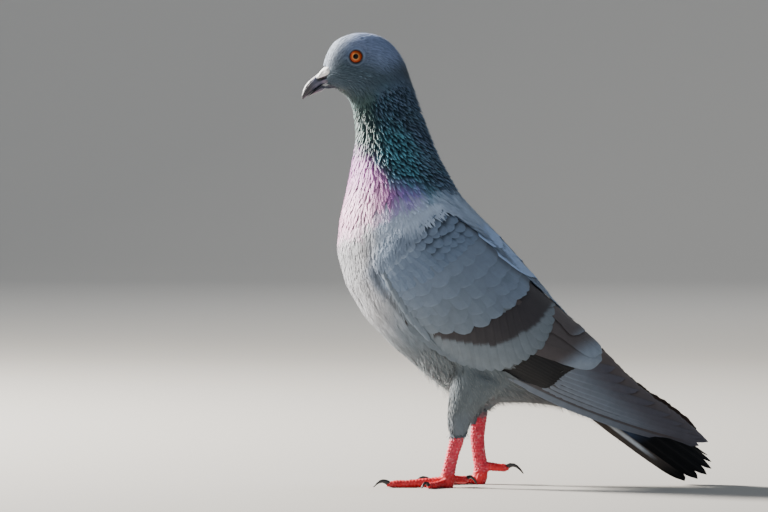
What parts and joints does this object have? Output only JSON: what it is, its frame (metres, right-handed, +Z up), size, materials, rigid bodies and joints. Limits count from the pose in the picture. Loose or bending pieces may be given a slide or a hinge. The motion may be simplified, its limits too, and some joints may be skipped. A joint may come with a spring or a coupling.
{
  "type": "pigeon model",
  "caption": "Life-size still model of a feral pigeon standing upright on both feet, with folded wings, barred wing feathers and a closed tail.",
  "frame": {"origin": "on the ground, below the middle of the outline's box", "axes": "+Z up; the bird faces -X; its left side is towards -Y"},
  "size_m": [0.2419, 0.092, 0.2674],
  "materials": {
    "head": "short dense feathers",
    "neck": "glossy iridescent hackle feathers",
    "breast": "soft downy contour feathers",
    "wing": "smooth covert feathers",
    "secondaries": "smooth flight feathers with dark bars",
    "primaries": "stiff flight feathers",
    "tail": "stiff dark tail feathers",
    "bill": "dark satin horn",
    "cere": "powdery white skin",
    "eye": "wet and glossy",
    "leg": "scaly skin",
    "claw": "polished horn"
  },
  "bodies": {
    "root": {"bill_upper": "bill", "bill_lower": "bill", "cere": "cere", "eye_left": "eye", "eye_right": "eye", "head": "head", "neck": "neck", "trunk": "breast", "rump": "breast", "wing_left_coverts": "wing", "wing_left_secondaries": "secondaries", "wing_left_primaries": "primaries", "wing_right_coverts": "wing", "wing_right_secondaries": "secondaries", "wing_right_primaries": "primaries", "tail_left": "tail", "tail_middle": "tail", "tail_right": "tail", "thigh_left": "breast", "tarsus_left": "leg", "toe_left_hallux": "leg", "claw_left_hallux": "claw", "toe_left_inner": "leg", "claw_left_inner": "claw", "toe_left_middle": "leg", "claw_left_middle": "claw", "toe_left_outer": "leg", "claw_left_outer": "claw", "thigh_right": "breast", "tarsus_right": "leg", "toe_right_hallux": "leg", "claw_right_hallux": "claw", "toe_right_inner": "leg", "claw_right_inner": "claw", "toe_right_middle": "leg", "claw_right_middle": "claw", "toe_right_outer": "leg", "claw_right_outer": "claw"}
  },
  "joints": []
}
